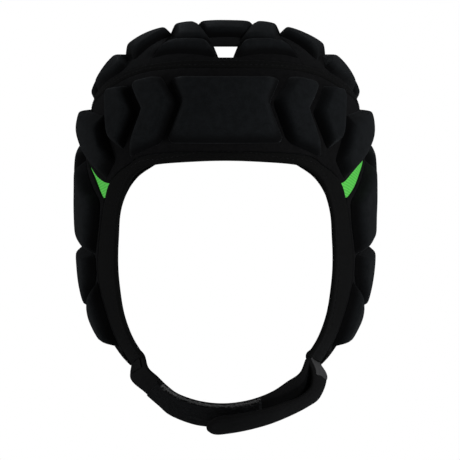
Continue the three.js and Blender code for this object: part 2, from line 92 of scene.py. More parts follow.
# Straps: half their thickness, the lower faces of the loop patch and of the small patches, the upper face
# of all patches, the straps' slack and the length of its ripples, what keeps an end from closing to
# nothing, the share of the width by which a rounded end narrows, and how far in the puff is full
STRAP_HALF = 1.0
PATCH_LOW = 1.2
SMALL_PATCH_LOW = 1.3
PATCH_HIGH = 2.2
STRAP_SLACK = 0.25
STRAP_RIPPLE = 22.0
STRAP_END = 0.02
ROUND_END_NARROWING = 0.45
PUFF_FADE = 3.0

# Stitches and loose fibres
STITCH_LENGTH = 2.3
STITCH_GAP = 1.0
STITCH_RADIUS = 0.24
STITCH_RISE = 0.1
STITCH_SINK = 0.05
FIBRES = 1500

# Openings
EAR_AZIMUTH = 100.0
EAR_HEIGHT = -0.36
EAR_HALF_LENGTH = 21.0
EAR_HALF_HEIGHT = 27.0
VENT_HALF_WIDTH_LOW = 4.8
VENT_HALF_WIDTH_HIGH = 7.6
VENT_LOW = 0.795
VENT_HIGH = 0.873


def add_camera():
    """A long lens at the photograph's viewing angle, aimed at the middle of the cap."""
    data = bpy.data.cameras.new("camera")
    data.sensor_width = SENSOR
    data.lens = SENSOR * CAMERA_DISTANCE / VIEW_WIDTH
    data.clip_end = 20.0
    camera = bpy.data.objects.new("camera", data)
    bpy.context.scene.collection.objects.link(camera)
    back = Vector((0.0, -math.cos(CAMERA_ELEVATION), math.sin(CAMERA_ELEVATION)))
    camera.location = CAMERA_AIM + CAMERA_DISTANCE * back
    camera.rotation_euler = back.to_track_quat("Z", "Y").to_euler()
    bpy.context.scene.camera = camera


# The head form


def level(share):
    """The height in millimetres of a share of the crown above the widest level, or of the jaw below it."""
    return np.where(share > 0, share * CROWN_HEIGHT, share * JAW_DEPTH)


def spans(y, z):
    """Half width and depth of the form at a level. Below z = 0 they narrow by a power of the jaw's share."""
    share = np.maximum(0, -z) / JAW_DEPTH
    half = HEAD_HALF_WIDTH * (1 - JAW_NARROWING * share**4)
    front = HEAD_FRONT * (1 - FACE_NARROWING * share**2)
    back = HEAD_BACK * (1 - NAPE_NARROWING * share**2)
    return half, np.where(y < 0, front, back)


def form_value(points):
    """One on the form: a superellipse in plan, raised to the crown's power, plus the crown's own rise."""
    x, y, z = np.moveaxis(points, -1, 0)
    half, depth = spans(y, z)
    plan = (np.abs(x) / half) ** PLAN_ROUNDNESS + (np.abs(y) / depth) ** PLAN_ROUNDNESS
    rise = (np.maximum(0, z) / CROWN_HEIGHT) ** CROWN_ROUNDNESS
    return plan ** (CROWN_ROUNDNESS / PLAN_ROUNDNESS) + rise


def form_normal(points):
    """The direction in which the form's value grows fastest, from differences half a millimetre apart."""
    steps = 0.25 * np.eye(3)
    slope = [form_value(points + step) - form_value(points - step) for step in steps]
    slope = np.stack(slope, axis=-1)
    return slope / np.linalg.norm(slope, axis=-1, keepdims=True)


def seat(points, lift=0.0):
    """Points moved onto the form, radially above its widest level and level below it, then lifted along
    the form's normal."""
    scale = form_value(points) ** (-1 / CROWN_ROUNDNESS)
    x, y, z = np.moveaxis(points, -1, 0)
    seated = np.stack([x * scale, y * scale, np.where(z > 0, z * scale, z)], axis=-1)
    return seated + np.asarray(lift)[..., None] * form_normal(seated)


def side(azimuth, height):
    """The form's point at an azimuth in degrees from the front, and at a height given as a share of the
    crown above the widest level and of the jaw below it."""
    angle = np.radians(azimuth)
    z = level(height)
    ring = (1 - np.maximum(0, height) ** CROWN_ROUNDNESS) ** (1 / CROWN_ROUNDNESS)
    x, y = np.sin(angle), -np.cos(angle)
    half, depth = spans(y, z)
    plan = (np.abs(x) / half) ** PLAN_ROUNDNESS + (np.abs(y) / depth) ** PLAN_ROUNDNESS
    reach = ring * plan ** (-1 / PLAN_ROUNDNESS)
    return np.stack([x * reach, y * reach, z], axis=-1)


def top(across, along):
    """The form's point seen from above, at shares of its half width and of its front or back."""
    depth = np.where(along < 0, HEAD_FRONT, HEAD_BACK)
    plan = np.abs(across) ** PLAN_ROUNDNESS + np.abs(along) ** PLAN_ROUNDNESS
    rise = (1 - plan ** (CROWN_ROUNDNESS / PLAN_ROUNDNESS)) ** (1 / CROWN_ROUNDNESS)
    return np.stack([across * HEAD_HALF_WIDTH, along * depth, rise * CROWN_HEIGHT], axis=-1)


def smooth_run(points, steps, closed=False):
    """A Catmull-Rom curve through each column of points, with a number of steps to each stretch."""
    count = len(points)
    if closed:
        padded = np.concatenate([points[-1:], points, points[:2]])
        stretches = count
    else:
        first = 2 * points[:1] - points[1:2]
        last = 2 * points[-1:] - points[-2:-1]
        padded = np.concatenate([first, points, last])
        stretches = count - 1
    place = np.arange(stretches * steps + (0 if closed else 1)) / steps
    index = np.minimum(place.astype(int), stretches - 1)
    t = (place - index).reshape((-1,) + (1,) * (points.ndim - 1))
    a, b, c, d = (padded[index + k] for k in range(4))
    bend = (2 * a - 5 * b + 4 * c - d) * t**2
    return 0.5 * (2 * b + (c - a) * t + bend + (3 * b - 3 * c + d - a) * t**3)


def run_along(line):
    """The length of a line from its start to each of its points."""
    return np.concatenate([[0], np.cumsum(np.linalg.norm(np.diff(line, axis=0), axis=-1))])


def ripple(points, size, seed):
    """A soft unevenness about as large as 1: eight plane waves of about one length in seeded directions."""
    chance = np.random.default_rng(seed)
    ways = chance.normal(size=(8, 3))
    turns = (2 * math.pi / size) * chance.uniform(0.6, 1.5, (8, 1))
    ways *= turns / np.linalg.norm(ways, axis=1, keepdims=True)
    phases = chance.uniform(0, 2 * math.pi, 8)
    return np.sin(points @ ways.T + phases).mean(axis=-1) * 1.6


# Meshes


def to_frame(points):
    """Form coordinates in millimetres turned into the frame's metres, whose origin is the crown's inside."""
    moved = np.asarray(points, float) / 1000
    moved[..., 2] += (CLOTH_THICKNESS - CROWN_HEIGHT) / 1000
    return moved


def mesh_object(name, points, faces, uv=None, rise=None):
    """An object of quads at the origin, with its map in metres and the share of full height at each point."""
    mesh = bpy.data.meshes.new(name)
    mesh.vertices.add(len(points))
    mesh.vertices.foreach_set("co", to_frame(points).ravel())
    mesh.loops.add(faces.size)
    mesh.loops.foreach_set("vertex_index", faces.ravel().astype(np.int32))
    mesh.polygons.add(len(faces))
    mesh.polygons.foreach_set("loop_start", np.arange(0, faces.size, faces.shape[1], dtype=np.int32))
    mesh.update(calc_edges=True)
    if uv is not None:
        layer = mesh.uv_layers.new(name="cloth")
        layer.data.foreach_set("uv", (uv[faces.ravel()] / 1000).ravel())
    if rise is not None:
        attribute = mesh.attributes.new("rise", "FLOAT", "POINT")
        attribute.data.foreach_set("value", np.asarray(rise, np.float32).ravel())
    tidy = bmesh.new()
    tidy.from_mesh(mesh)
    bmesh.ops.remove_doubles(tidy, verts=tidy.verts, dist=2e-6)
    bmesh.ops.dissolve_degenerate(tidy, edges=tidy.edges, dist=1e-6)
    bmesh.ops.recalc_face_normals(tidy, faces=tidy.faces)
    if tidy.calc_volume(signed=True) < 0:
        bmesh.ops.reverse_faces(tidy, faces=tidy.faces)
    tidy.to_mesh(mesh)
    tidy.free()
    mesh.polygons.foreach_set("use_smooth", np.ones(len(mesh.polygons), bool))
    piece = bpy.data.objects.new(name, mesh)
    bpy.context.scene.collection.objects.link(piece)
    return piece


def grid_faces(rows, columns, closed=False, start=0):
    """The quads of a grid numbered row by row from a start. Closed joins the last row to the first."""
    last = rows if closed else rows - 1
    i, j = np.meshgrid(np.arange(last), np.arange(columns - 1), indexing="ij")
    here, ahead = i * columns, ((i + 1) % rows) * columns
    quads = np.stack([here + j, ahead + j, ahead + j + 1, here + j + 1], axis=-1)
    return start + quads.reshape(-1, 4)


def two_sided(outer, inner, closed=False):
    """Points and quads of a body between two grids: both faces and the wall round their open edges."""
    rows, columns = outer.shape[:2]
    points = np.concatenate([outer.reshape(-1, 3), inner.reshape(-1, 3)])
    lower = rows * columns
    numbers = np.arange(lower).reshape(rows, columns)
    ring = np.concatenate([numbers, numbers[:1]]) if closed else numbers
    edges = [ring[:, 0], ring[:, -1][::-1]]
    if not closed:
        edges += [ring[0, ::-1], ring[-1]]
    walls = [np.stack([e[:-1], e[1:], e[1:] + lower, e[:-1] + lower], axis=-1) for e in edges]
    faces = [grid_faces(rows, columns, closed), grid_faces(rows, columns, closed, lower)[:, ::-1], *walls]
    return points, np.concatenate(faces)


def finish_piece(piece, material, slot, *nodes):
    """Gives a piece its material, and lets it ride in place of its solids. The slot is not used."""
    piece.data.materials.clear()
    piece.data.materials.append(material)
    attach(piece, "root")
    if nodes:
        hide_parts(*nodes)
    return piece


# Materials

# The cool tint of the fabrics' sheen
COOL = (0.85, 0.92, 1.0)


class Signal:
    """A socket in a material's arithmetic: operators add Math nodes, and node() adds any other node."""

    def __init__(self, tree, socket=None):
        self.tree = tree
        self.socket = socket

    def node(self, kind, settings=None, inputs=None, output=0):
        """A node with its settings made first, then the values or links of its sockets."""
        made = self.tree.nodes.new(kind)
        for key, value in (settings or {}).items():
            setattr(made, key, value)
        for key, value in (inputs or {}).items():
            if isinstance(value, Signal):
                self.tree.links.new(value.socket, made.inputs[key])
            else:
                made.inputs[key].default_value = value
        return Signal(self.tree, made.outputs[output])

    def math(self, operation, *values):
        return self.node("ShaderNodeMath", {"operation": operation}, dict(enumerate(values)))

    def __add__(self, other):
        return self.math("ADD", self, other)

    def __mul__(self, other):
        return self.math("MULTIPLY", self, other)

    __radd__ = __add__
    __rmul__ = __mul__

    def wave(self):
        """A sine from -1 to 1."""
        return self.math("SINE", self)

    def step(self, low, high):
        """A soft step from 0 at low to 1 at high."""
        limits = {"Value": self, "From Min": low, "From Max": high}
        return self.node("ShaderNodeMapRange", {"interpolation_type": "SMOOTHSTEP"}, limits)

    def noise(self, place, size, detail=2.0):
        """Noise from 0 to 1 whose features have about this size in metres."""
        return self.node("ShaderNodeTexNoise", None, {"Vector": place, "Scale": 1 / size, "Detail": detail})

    def blend(self, first, second):
        """A colour between two, by this share."""
        mixed = self.node("ShaderNodeMix", {"data_type": "RGBA"}, {"Factor": self})
        for key, value in (("A", first), ("B", second)):
            socket = [s for s in mixed.socket.node.inputs if s.name == key and s.type == "RGBA"][0]
            if isinstance(value, Signal):
                self.tree.links.new(value.socket, socket)
            else:
                socket.default_value = (*value, 1.0)
        return Signal(self.tree, mixed.socket.node.outputs[2])


def place_of(start):
    """The piece's own position, in metres."""
    return start.node("ShaderNodeTexCoord", None, None, "Object")


def map_of(start):
    """The two distances along and across the piece's cloth, in metres."""
    parts = start.node("ShaderNodeUVMap", {"uv_map": "cloth"}, None)
    split = start.node("ShaderNodeSeparateXYZ", None, {"Vector": parts})
    return split, Signal(start.tree, split.socket.node.outputs[1])


def cloth_material(name, build, roughness, sheen, specular, glow=None):
    """A Principled cloth: build(start) gives its colour and its relief in metres. A glow is painted light:
    the cloth emits it though it is no lamp."""
    material = bpy.data.materials.new(name)
    material.use_nodes = True
    tree = material.node_tree
    shader = tree.nodes["Principled BSDF"]
    start = Signal(tree)
    colour, relief = build(start)
    bump = start.node("ShaderNodeBump", None, {"Strength": 1.0, "Distance": 1.0, "Height": relief})
    tree.links.new(colour.socket, shader.inputs["Base Color"])
    tree.links.new(bump.socket, shader.inputs["Normal"])
    shader.inputs["Roughness"].default_value = roughness
    shader.inputs["Specular IOR Level"].default_value = specular
    shader.inputs["Sheen Weight"].default_value = sheen
    shader.inputs["Sheen Roughness"].default_value = 0.45
    shader.inputs["Sheen Tint"].default_value = (*COOL, 1.0)
    # Painted light: the glow is emitted by the cloth itself
    if glow:
        shader.inputs["Emission Color"].default_value = (*glow, 1.0)
        shader.inputs["Emission Strength"].default_value = 0.5
    return material


def knit(start, dark, light):
    """Fine stretch knit: small stitches in rows, a faint mottle and slack ripples."""
    place = place_of(start)
    u, v = map_of(start)
    turn = 2 * math.pi / 0.0009
    stitches = (u * turn).wave() * (v * turn * 1.3).wave()
    mottle = start.noise(place, 0.004, 3.0)
    slack = start.noise(place, 0.016, 2.0)
    grain = start.noise(place, 0.0008, 2.0)
    colour = (mottle * 0.55 + grain * 0.45).step(0.3, 0.7).blend(dark, light)
    relief = stitches * 0.00004 + grain * 0.00006 + slack * 0.0004
    return colour, relief


def base_knit(start):
    """The cap's base cloth, nearly black."""
    return knit(start, (0.0075, 0.0075, 0.008), (0.012, 0.012, 0.0128))


def pad_knit(start):
    """The same knit over foam: greyer and bluer on the faces, and darker where it dips to the seams, which is
    painted shade.
    """
    colour, relief = knit(start, (0.0100, 0.0113, 0.0126), (0.0160, 0.0182, 0.0204))
    rise = start.node("ShaderNodeAttribute", {"attribute_name": "rise"}, None, "Fac")
    faces = rise.step(0.3, 0.95)
    # Painted shade: the knit darkens to near black down the pads' walls towards their foot
    colour_with_painted_shade = faces.blend((0.0035, 0.0036, 0.004), colour)
    return colour_with_painted_shade, relief


def binding_twill(start):
    """Binding and seam tape: a close diagonal twill."""
    place = place_of(start)
    u, v = map_of(start)
    turn = 2 * math.pi / 0.0008
    diagonal = ((u + v) * turn).wave()
    grain = start.noise(place, 0.0009, 2.0)
    slack = start.noise(place, 0.012, 2.0)
    weave = (diagonal * 0.15 + grain).step(0.25, 0.8)
    colour = weave.blend((0.0060, 0.0061, 0.0062), (0.0105, 0.0107, 0.0108))
    return colour, diagonal * 0.00003 + grain * 0.00005 + slack * 0.0003


def lining_mesh(start):
    """Bright green spacer mesh with small round holes in staggered rows."""
    place = place_of(start)
    u, v = map_of(start)
    turn = 2 * math.pi / 0.0024
    holes = (u * turn).wave() * (v * turn).wave()
    hollow = holes.step(0.25, 0.7)
    shade = start.noise(place, 0.006, 2.0)
    yarn = shade.blend((0.13, 0.66, 0.10), (0.19, 0.80, 0.15))
    colour = hollow.blend(yarn, (0.03, 0.26, 0.03))
    return colour, hollow * -0.0004


def strap_knit(start):
    """Smooth padded strap cloth with a slight rib along it."""
    place = place_of(start)
    u, v = map_of(start)
    ribs = (v * (2 * math.pi / 0.0011)).wave()
    grain = start.noise(place, 0.001, 2.0)
    slack = start.noise(place, 0.014, 2.0)
    shade = (grain * 0.7 + slack * 0.3).step(0.3, 0.75)
    colour = shade.blend((0.006, 0.006, 0.0064), (0.0102, 0.0102, 0.0108))
    return colour, ribs * 0.00003 + grain * 0.00005 + slack * 0.0005


def loop_pile(start):
    """Brushed loop: matted fibres, lighter at their tips."""
    place = place_of(start)
    fibres = start.noise(place, 0.0007, 4.0)
    clumps = start.noise(place, 0.003, 3.0)
    tips = (fibres * 0.6 + clumps * 0.4).step(0.35, 0.7)
    return tips.blend((0.005, 0.005, 0.0054), (0.011, 0.011, 0.0115)), tips * 0.0004


def pile_fibre(start):
    """The loose grey fibres along the pile's edge."""
    fibres = start.noise(place_of(start), 0.002, 2.0)
    return fibres.blend((0.16, 0.16, 0.16), (0.34, 0.34, 0.34)), fibres * 0.00005


def satin(start):
    """Smooth woven satin with fine crosswise threads."""
    place = place_of(start)
    u, v = map_of(start)
    weft = (u * (2 * math.pi / 0.0007)).wave()
    shade = start.noise(place, 0.005, 2.0)
    return shade.blend((0.05, 0.05, 0.052), (0.085, 0.085, 0.088)), weft * 0.00003


def thread(start):
    """Black sewing thread, twisted."""
    twist = start.noise(place_of(start), 0.0006, 1.0)
    return twist.blend((0.003, 0.003, 0.0035), (0.007, 0.007, 0.0075)), twist * 0.00005


# Each look by its roughness, sheen and specular level
looks = {
    "base": cloth_material("stretch knit", base_knit, 0.9, 0.04, 0.05),
    "pad": cloth_material("knit over foam", pad_knit, 0.85, 0.07, 0.07),
    "binding": cloth_material("binding twill", binding_twill, 0.8, 0.03, 0.06),
    # The green mesh glows with painted light, emitted in its own green
    "mesh": cloth_material("green spacer mesh", lining_mesh, 0.7, 0.0, 0.3, (0.07, 0.50, 0.06)),
    "strap": cloth_material("padded strap knit", strap_knit, 0.75, 0.04, 0.06),
    "loop": cloth_material("loop pile", loop_pile, 1.0, 0.08, 0.05),
    "fibre": cloth_material("loose pile fibre", pile_fibre, 0.9, 0.3, 0.1),
    "satin": cloth_material("satin weave", satin, 0.4, 0.1, 0.3),
    "thread": cloth_material("sewing thread", thread, 0.6, 0.1, 0.15),
}


# Cloth panels


def flipped(points):
    """The same points mirrored to the other side of the cap."""
    return points * np.array([-1.0, 1.0, 1.0])


def both_sides(rows):
    """Rows of the right side, carried on from their mirror image on the left."""
    return np.concatenate([flipped(rows[:0:-1]), rows])


def narrowed_slit(table, corners, shift):
    """A table whose rows along the slit have their height there, its second column, moved by a share."""
    moved = np.array(table, float)
    moved[corners, 1] += shift
    return moved


def edge_rows(table):
    """Rows of two points from azimuth and height of the lower edge and of the upper edge."""
    low_azimuth, low, high_azimuth, high = np.array(table, float).T
    return np.stack([side(low_azimuth, low), side(high_azimuth, high)], axis=1)


def upright_rows(table):
    """Rows of two points, one above the other, from azimuth and height of the lower and the upper edge."""
    azimuth, low, high = np.array(table, float).T
    return np.stack([side(azimuth, low), side(azimuth, high)], axis=1)


def edge_shares(width):
    """Places across a strip: close together at both edges, where it rounds over, and even between."""
    near = np.minimum(np.array([0, 0.12, 0.4, 0.8, 1.3]), 0.3 * width[:, None])
    share = near / width[:, None]
    middle = np.linspace(0, 1, 13)[1:-1]
    inner = share[:, -1:] + (1 - 2 * share[:, -1:]) * middle
    return np.concatenate([share, inner, 1 - share[:, ::-1]], axis=1)


def cloth_panel(name, rows, steps=6, lift=0.0, thickness=CLOTH_THICKNESS, closed=False, grow=0.2, bead=0.0):
    """Cloth on the form between the first and last point of each row, bowed through a middle one if there is
    one. Both faces close in on each other by a quarter circle at the edges, and a bead thickens the first."""
    rows = smooth_run(rows, steps, closed)
    width = np.linalg.norm(rows[:, -1] - rows[:, 0], axis=-1)
    share = edge_shares(width)
    across = (-grow + (width[:, None] + 2 * grow) * share) / width[:, None]
    if rows.shape[1] == 2:
        points = rows[:, None, 0] * (1 - across[..., None]) + rows[:, None, 1] * across[..., None]
    else:
        weights = [(1 - across) * (1 - 2 * across), 4 * across * (1 - across), across * (2 * across - 1)]
        points = sum(w[..., None] * rows[:, None, k] for k, w in enumerate(weights))
    depth = share * width[:, None]
    to_edge = np.minimum(depth, width[:, None] - depth)
    half = thickness / 2
    body = np.sqrt(np.clip(1 - (1 - np.minimum(to_edge / half, 1)) ** 2, 0, 1))
    swell = bead * np.exp(-(((depth - BEAD_PLACE) / BEAD_SPREAD) ** 2))
    middle = lift - half
    soft = CLOTH_SLACK * ripple(points, CLOTH_RIPPLE, len(name)) * np.minimum(to_edge / SLACK_FADE, 1)
    outer = seat(points, middle + half * body + swell * body + soft)
    inner = seat(points, middle - half * body + soft)
    solid, faces = two_sided(outer, inner, closed)
    length = run_along(points[:, points.shape[1] // 2])
    uv = np.stack([np.broadcast_to(length[:, None], depth.shape), depth], axis=-1).reshape(-1, 2)
    return mesh_object(name, solid, faces, np.concatenate([uv, uv]))


def declare_cloth(piece):
    """Reads the areas of a panel's faces; nothing is done with them."""
    areas = np.zeros(len(piece.data.polygons))
    piece.data.polygons.foreach_get("area", areas)


TAPE = [
    [0, 0.73, 0.78], [9, 0.73, 0.78], [18, 0.73, 0.778], [28.5, 0.72, 0.767], [39, 0.698, 0.747],
    [49, 0.656, 0.712], [57.5, 0.605, 0.667], [68.5, 0.543, 0.61], [83, 0.468, 0.545], [97, 0.392, 0.47],
    [108, 0.345, 0.422], [120, 0.312, 0.388], [132, 0.288, 0.364], [144, 0.274, 0.35], [155.8, 0.265, 0.34],
]

BROW = [
    [0, 0.18, 0, 0.73], [11, 0.178, 9, 0.73], [21, 0.171, 18, 0.73], [32, 0.141, 28.5, 0.72],
    [38, 0.08, 39, 0.698], [44, 0.022, 49, 0.656], [49.5, -0.035, 57.5, 0.605], [58, 0.019, 68.5, 0.543],
    [67, 0.076, 79, 0.488], [77.5, 0.142, 90, 0.43], [88.7, 0.217, 97, 0.392], [97, 0.293, 102, 0.37],
]

BAND = [
    [0, 0.12, 0, 0.175], [12, 0.112, 11, 0.173], [26, 0.087, 21, 0.166], [32, 0.049, 32, 0.136],
    [37, -0.014, 38, 0.075], [40.8, -0.099, 44, 0.017], [43.6, -0.195, 49.5, -0.042],
    [44.6, -0.299, 52.5, -0.12], [45.2, -0.37, 56, -0.25], [45.6, -0.46, 60.5, -0.43],
    [45.4, -0.556, 61, -0.54], [44.8, -0.68, 58.5, -0.66], [42.5, -0.787, 57.5, -0.78],
    [39.5, -0.85, 56.5, -0.87], [37, -0.88, 57.5, -0.945],
]

GUSSET = [
    [52.6, -0.13, 47.3, -0.036], [61.5, -0.062, 58, 0.009], [69.8, 0.002, 67, 0.066],
    [79.8, 0.077, 77.5, 0.132], [90.8, 0.168, 88.7, 0.208], [98.5, 0.25, 96.5, 0.285],
    [106.5, 0.35, 102.8, 0.392],
]

HEM = [
    [180, 0.042, 0.132], [168, 0.042, 0.132], [157, 0.04, 0.13], [150, -0.01, 0.07], [142, -0.07, -0.005],
    [135, -0.165, -0.1], [129, -0.3, -0.235], [121, -0.46, -0.395], [110, -0.61, -0.545],
    [97, -0.745, -0.68], [84, -0.85, -0.785], [72, -0.915, -0.85], [58, -0.952, -0.885],
]

SIDE_OUTLINE = [
    [55, -0.107], [52.7, -0.12], [56, -0.25], [60.5, -0.43], [61, -0.54], [58.5, -0.66], [57.5, -0.78],
    [57, -0.86], [61, -0.885], [72, -0.85], [84, -0.785], [97, -0.68], [110, -0.545], [121, -0.395],
    [129, -0.235], [135, -0.1], [142, -0.005], [150, 0.07], [158, 0.127], [156.5, 0.26],
    [144, 0.274], [132, 0.288], [120, 0.312], [108, 0.345], [103, 0.342], [99, 0.255], [91, 0.165],
    [80, 0.076], [70, 0], [62, -0.065],
]

# The outline's corners along the slit, and how far the cloth closes it on each side of the cap
SIDE_SLIT_CORNERS = [-1, -2, -3, -4, -5]
BROW_SLIT_CORNERS = [7, 8, 9, 10]
SLIT_CLOSE = {"right": 0.006, "left": 0.036}

# The crown centre panel by the places of its right edge and of its middle: seen from above over the top,
# by azimuth and height at the brow and the nape
CENTRE_FRONT = [[39.5, 0.74, 0, 0.77]]
CENTRE_TOP = [
    [0.465, -0.475, 0, -0.66], [0.4, -0.345, 0, -0.52], [0.385, -0.22, 0, -0.36], [0.375, -0.08, 0, -0.17],
    [0.38, 0.05, 0, 0.02], [0.39, 0.2, 0, 0.2], [0.41, 0.36, 0, 0.38], [0.44, 0.5, 0, 0.54],
]
CENTRE_NAPE = [
    [147.5, 0.665, 180, 0.72], [151, 0.54, 180, 0.585], [153.5, 0.405, 180, 0.445],
    [155.5, 0.265, 180, 0.285], [156.5, 0.115, 180, 0.12],
]

# The crown side panel's lower edge by azimuth and height, and its upper edge in the same three stretches
CROWN_SIDE_LOW = [
    [39.2, 0.738], [44.6, 0.731], [49, 0.712], [57.5, 0.667], [68.5, 0.61], [83, 0.545], [97, 0.47],
    [108, 0.422], [120, 0.388], [132, 0.364], [144, 0.35], [151.5, 0.342], [153.6, 0.341],
]
CROWN_SIDE_FRONT = [[38.8, 0.767]]
CROWN_SIDE_TOP = [
    [0.465, -0.475], [0.4, -0.345], [0.385, -0.22], [0.379, -0.14], [0.375, -0.05], [0.38, 0.05],
    [0.39, 0.2], [0.41, 0.36], [0.44, 0.5],
]
CROWN_SIDE_NAPE = [[147.5, 0.665], [151.5, 0.52], [154, 0.38]]


def brow_rows():
    """The brow panel's rows from the left end to the right, each side reaching down over the slit's top."""
    right = edge_rows(narrowed_slit(BROW, BROW_SLIT_CORNERS, -SLIT_CLOSE["right"]))
    left = edge_rows(narrowed_slit(BROW, BROW_SLIT_CORNERS, -SLIT_CLOSE["left"]))
    return np.concatenate([flipped(left[:0:-1]), right])


def centre_rows():
    """The crown centre panel's rows of left edge, middle and right edge, from the brow over to the nape."""
    stretches = [(side, CENTRE_FRONT), (top, CENTRE_TOP), (side, CENTRE_NAPE)]
    columns = [(chart, np.array(rows, float).T) for chart, rows in stretches]
    edge = np.concatenate([chart(first, second) for chart, (first, second, _, _) in columns])
    middle = np.concatenate([chart(first, second) for chart, (_, _, first, second) in columns])
    return np.stack([flipped(edge), middle, edge], axis=1)


def crown_side_rows():
    """The crown side panel's rows, from the seam tape's upper edge to the centre panel's edge."""
    stretches = [(side, CROWN_SIDE_FRONT), (top, CROWN_SIDE_TOP), (side, CROWN_SIDE_NAPE)]
    upper = np.concatenate([chart(*np.array(rows, float).T) for chart, rows in stretches])
    return np.stack([side(*np.array(CROWN_SIDE_LOW, float).T), upper], axis=1)


def side_panel_rows(close):
    """The side panel's rows from the ear opening's edge out to the panel's outline, all the way round, with
    its edge along the slit raised by a share of the height."""
    azimuth, height = narrowed_slit(SIDE_OUTLINE, SIDE_SLIT_CORNERS, close).T
    arc_per_degree = math.radians(HEAD_HALF_WIDTH)
    lengthwise = (azimuth - EAR_AZIMUTH) * arc_per_degree
    upwards = level(height) - level(EAR_HEIGHT)
    angle = np.arctan2(upwards / EAR_HALF_HEIGHT, lengthwise / EAR_HALF_LENGTH)
    z = level(EAR_HEIGHT) + EAR_HALF_HEIGHT * np.sin(angle)
    ear_azimuth = EAR_AZIMUTH + EAR_HALF_LENGTH * np.cos(angle) / arc_per_degree
    ear = side(ear_azimuth, np.where(z > 0, z / CROWN_HEIGHT, z / JAW_DEPTH))
    return np.stack([ear, side(azimuth, height)], axis=1)


def cut_vents(piece):
    """Cuts the tapering vents through the centre panel at front and back with one prism along Y."""
    low, high = VENT_LOW * CROWN_HEIGHT, VENT_HIGH * CROWN_HEIGHT
    near, wide = VENT_HALF_WIDTH_LOW, VENT_HALF_WIDTH_HIGH
    outline = [(-near, low), (near, low), (wide, high), (-wide, high)]
    points = np.array([(x, y, z) for y in (-HEAD_FRONT, HEAD_BACK) for x, z in outline])
    cutter_mesh = bpy.data.meshes.new("vent cutter")
    walls = [(k, k + 4, (k + 1) % 4 + 4, (k + 1) % 4) for k in range(4)]
    cutter_mesh.from_pydata(to_frame(points).tolist(), [], [(0, 1, 2, 3), (7, 6, 5, 4), *walls])
    cutter = bpy.data.objects.new("vent cutter", cutter_mesh)
    bpy.context.scene.collection.objects.link(cutter)
    modifier = piece.modifiers.new("vents", "BOOLEAN")
    modifier.operation = "DIFFERENCE"
    modifier.object = cutter
    modifier.solver = "EXACT"
    settle(piece)
    bpy.data.objects.remove(cutter)


def settle(piece):
    """Turns a piece's modifiers into its mesh."""
    graph = bpy.context.evaluated_depsgraph_get()
    made = bpy.data.meshes.new_from_object(piece.evaluated_get(graph))
    piece.modifiers.clear()
    piece.data = made


def add_panels():
    """The base cloth: brow, crown, sides, bands and the green slits, each over its own solid."""
    raised = {"lift": TAPE_RISE, "thickness": CLOTH_THICKNESS + TAPE_RISE}
    centre = cloth_panel("crown_centre_cloth", centre_rows(), 8)
    cut_vents(centre)
    brow = cloth_panel("brow_cloth", brow_rows())
    band = cloth_panel("face_hem", both_sides(edge_rows(BAND)), bead=HEM_BEAD)
    tape = cloth_panel("brow_seam_tape", both_sides(upright_rows(TAPE)), **raised)
    hem = cloth_panel("nape_hem", both_sides(upright_rows(HEM)), **raised)
    panels = [
        ("front_panel", brow, "base", "cloth"),
        ("face_band", band, "binding", "cloth"),
        ("crown_seam_tape", tape, "binding", "cloth"),
        ("rear_hem", hem, "binding", "cloth"),
        ("crown_centre_panel", centre, "base", "cloth"),
    ]
    mesh = {"lift": -MESH_DEPTH, "thickness": MESH_THICKNESS, "grow": 0.8}
    for hand, turn in (("right", np.asarray), ("left", flipped)):
        crown = cloth_panel(f"crown_cloth_{hand}", turn(crown_side_rows()))
        ear = cloth_panel(f"ear_cloth_{hand}", turn(side_panel_rows(SLIT_CLOSE[hand])), closed=True)
        slit = cloth_panel(f"slit_mesh_{hand}", turn(edge_rows(GUSSET)), **mesh)
        panels += [
            (f"crown_side_panel_{hand}", crown, "base", "cloth"),
            (f"side_panel_{hand}", ear, "base", "cloth"),
            (f"gusset_{hand}", slit, "mesh", "mesh"),
        ]
    for node, piece, look, slot in panels:
        finish_piece(piece, looks[look], slot, node)
        declare_cloth(piece)


# Foam pads

# How round the bend is between the two stretches of a pad's edge
BEND_ROUNDING = 0.0016


def bent_line(line, share):
    """A pad's edge at shares of its length: straight stretches, with the bend between two of them rounded."""
    line = np.array(line, float)
    if len(line) == 2:
        return line[0] + (line[1] - line[0]) * share[..., None]
    start, bend, end = line
    turn = np.clip(share, -0.2, 1.2) - 0.5
    round_over = np.sqrt(turn**2 + BEND_ROUNDING)
    reach = math.sqrt(0.25 + BEND_ROUNDING)
    before, after = bend - start, end - bend
    steady, swing = (before + after) * turn[..., None], (after - before) * (round_over - reach)[..., None]
    return (start + end) / 2 + steady + swing


# The largest shares of a pad's half width that its rings and its rounded corners take up
RING_SHARE = 0.8
CORNER_SHARE = 0.7


